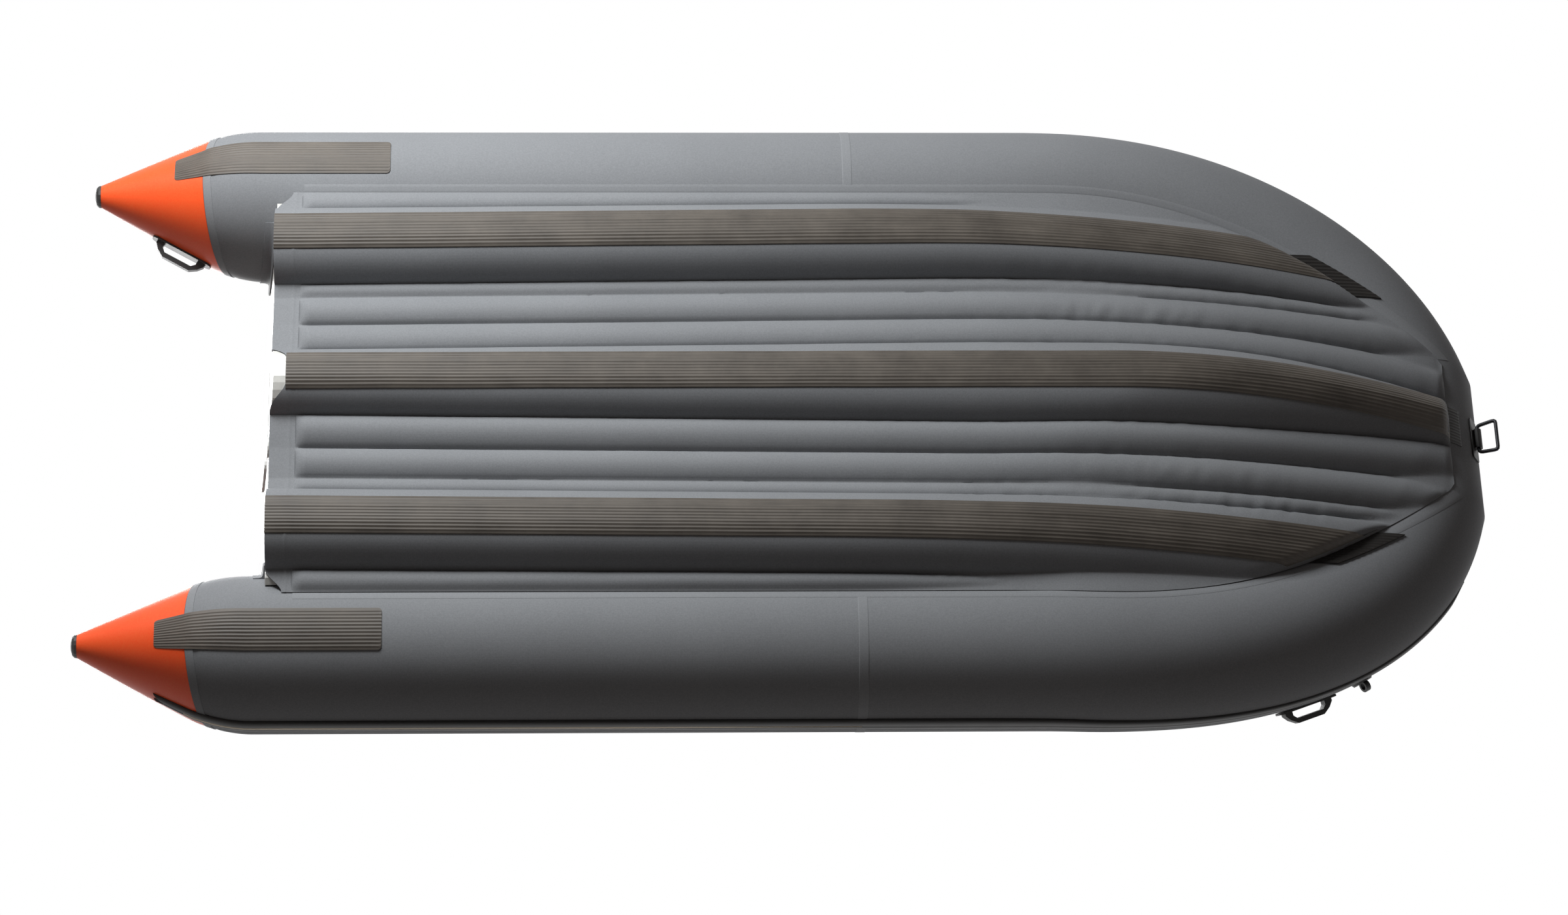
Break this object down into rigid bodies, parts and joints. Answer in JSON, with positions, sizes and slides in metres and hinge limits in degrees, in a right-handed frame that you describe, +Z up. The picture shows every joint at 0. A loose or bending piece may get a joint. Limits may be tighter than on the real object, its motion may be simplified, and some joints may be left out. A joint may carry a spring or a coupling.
{
  "type": "inflatable boat",
  "caption": "Inflatable boat with pointed stern cones, a swept bow, an air floor with three strip-covered keels, a raked transom, sliding benches and a bow towing ring.",
  "frame": {"origin": "centre of the bounding box's foot: below the middle of the boat's length and beam, at the underside of the keel strips", "axes": "+X forward to the bow, +Y to port, +Z up; boat upright"},
  "size_m": [3.7003, 1.7854, 0.666],
  "materials": {
    "hull_fabric": "matte coated fabric",
    "cone_fabric": "matte coated fabric",
    "ribbed_rubber": "matte ribbed rubber",
    "black_rubber": "matte rubber",
    "marine_plywood": "painted plywood",
    "bench_plywood": "painted plywood",
    "black_plastic": "matte moulded plastic",
    "white_plastic": "matte moulded plastic",
    "grey_plastic": "matte moulded plastic",
    "stainless_steel": "polished stainless steel"
  },
  "bodies": {
    "hull": {"air_floor": "hull_fabric", "tube_port": "hull_fabric", "tube_starboard": "hull_fabric", "tube_bow": "hull_fabric", "cone_port": "cone_fabric", "cone_starboard": "cone_fabric", "cone_tip_port": "black_rubber", "cone_tip_starboard": "black_rubber", "stern_skirt": "hull_fabric", "keel_strip_centre": "ribbed_rubber", "keel_strip_port": "ribbed_rubber", "keel_strip_starboard": "ribbed_rubber", "bow_patch_centre": "ribbed_rubber", "bow_patch_port": "ribbed_rubber", "bow_patch_starboard": "ribbed_rubber", "skid_strip_port": "ribbed_rubber", "skid_strip_starboard": "ribbed_rubber", "rub_strake_port": "black_rubber", "rub_strake_starboard": "black_rubber", "transom": "marine_plywood", "transom_holder_port": "hull_fabric", "transom_holder_starboard": "hull_fabric", "motor_plate_outer": "white_plastic", "motor_plate_inner": "white_plastic", "drain_socket": "white_plastic", "valve_cup_port": "black_plastic", "valve_cup_starboard": "black_plastic", "valve_cup_bow": "black_plastic", "valve_cup_floor": "black_plastic", "cone_handle_port": "black_rubber", "cone_handle_starboard": "black_rubber", "bow_handle_port": "black_rubber", "bow_handle_starboard": "black_rubber", "bow_eye_port": "black_rubber", "bow_eye_starboard": "black_rubber", "bow_ring_strap": "black_rubber", "oarlock_base_port": "black_plastic", "oarlock_base_starboard": "black_plastic", "seat_rail_port": "black_plastic", "seat_rail_starboard": "black_plastic"},
    "ring": {"bow_ring": "stainless_steel"},
    "plug": {"drain_plug": "grey_plastic"},
    "plunger_port": {"valve_plunger_port": "grey_plastic"},
    "cap_port": {"valve_cap_port": "black_plastic"},
    "plunger_starboard": {"valve_plunger_starboard": "grey_plastic"},
    "cap_starboard": {"valve_cap_starboard": "black_plastic"},
    "plunger_bow": {"valve_plunger_bow": "grey_plastic"},
    "cap_bow": {"valve_cap_bow": "black_plastic"},
    "plunger_floor": {"valve_plunger_floor": "grey_plastic"},
    "cap_floor": {"valve_cap_floor": "black_plastic"},
    "oarlock_port": {"oarlock_fork_port": "grey_plastic"},
    "oarlock_starboard": {"oarlock_fork_starboard": "grey_plastic"},
    "seat_aft": {"bench_aft": "bench_plywood", "bench_clip_aft_port": "black_plastic", "bench_clip_aft_starboard": "black_plastic"},
    "seat_fore": {"bench_fore": "bench_plywood", "bench_clip_fore_port": "black_plastic", "bench_clip_fore_starboard": "black_plastic"}
  },
  "joints": [
    {"name": "bow_ring_hinge", "type": "hinge", "parent": "hull", "child": "ring", "pos_m": [1.7993, 0, 0.36633], "axis": [0, 1, 0], "range_deg": [-80, 80]},
    {"name": "drain_plug_slide", "type": "slide", "parent": "hull", "child": "plug", "axis": [0.9945, 0, 0.1045], "range_m": [0, 0.035]},
    {"name": "valve_plunger_port_slide", "type": "slide", "parent": "hull", "child": "plunger_port", "axis": [0, 0.8819, -0.4714], "range_m": [0, 0.005], "stiffness_N_per_m": 120, "springref_m": -0.004},
    {"name": "valve_cap_port_turn", "type": "hinge", "parent": "hull", "child": "cap_port", "pos_m": [-0.97017, 0.50447, 0.37983], "axis": [0, -0.8819, 0.4714], "range_deg": [0, 90]},
    {"name": "valve_plunger_starboard_slide", "type": "slide", "parent": "hull", "child": "plunger_starboard", "axis": [0, -0.8819, -0.4714], "range_m": [0, 0.005], "stiffness_N_per_m": 120, "springref_m": -0.004},
    {"name": "valve_cap_starboard_turn", "type": "hinge", "parent": "hull", "child": "cap_starboard", "pos_m": [-0.97017, -0.50447, 0.37983], "axis": [0, 0.8819, 0.4714], "range_deg": [0, 90]},
    {"name": "valve_plunger_bow_slide", "type": "slide", "parent": "hull", "child": "plunger_bow", "axis": [0, 0.8819, -0.4714], "range_m": [0, 0.005], "stiffness_N_per_m": 120, "springref_m": -0.004},
    {"name": "valve_cap_bow_turn", "type": "hinge", "parent": "hull", "child": "cap_bow", "pos_m": [0.34984, 0.50447, 0.37983], "axis": [0, -0.8819, 0.4714], "range_deg": [0, 90]},
    {"name": "valve_plunger_floor_slide", "type": "slide", "parent": "hull", "child": "plunger_floor", "axis": [0, 0, -1], "range_m": [0, 0.005], "stiffness_N_per_m": 120, "springref_m": -0.004},
    {"name": "valve_cap_floor_turn", "type": "hinge", "parent": "hull", "child": "cap_floor", "pos_m": [-1.09017, 0, 0.18166], "axis": [0, 0, 1], "range_deg": [0, 90]},
    {"name": "oarlock_port_swivel", "type": "hinge", "parent": "hull", "child": "oarlock_port", "pos_m": [-0.20017, 0.68, 0.52], "axis": [0, 0, 1], "continuous": true},
    {"name": "oarlock_starboard_swivel", "type": "hinge", "parent": "hull", "child": "oarlock_starboard", "pos_m": [-0.20017, -0.68, 0.52], "axis": [0, 0, 1], "continuous": true},
    {"name": "bench_aft_slide", "type": "slide", "parent": "hull", "child": "seat_aft", "axis": [1, 0, 0], "range_m": [-0.25, 0.25]},
    {"name": "bench_fore_slide", "type": "slide", "parent": "hull", "child": "seat_fore", "axis": [1, 0, 0], "range_m": [-0.25, 0.25]}
  ]
}
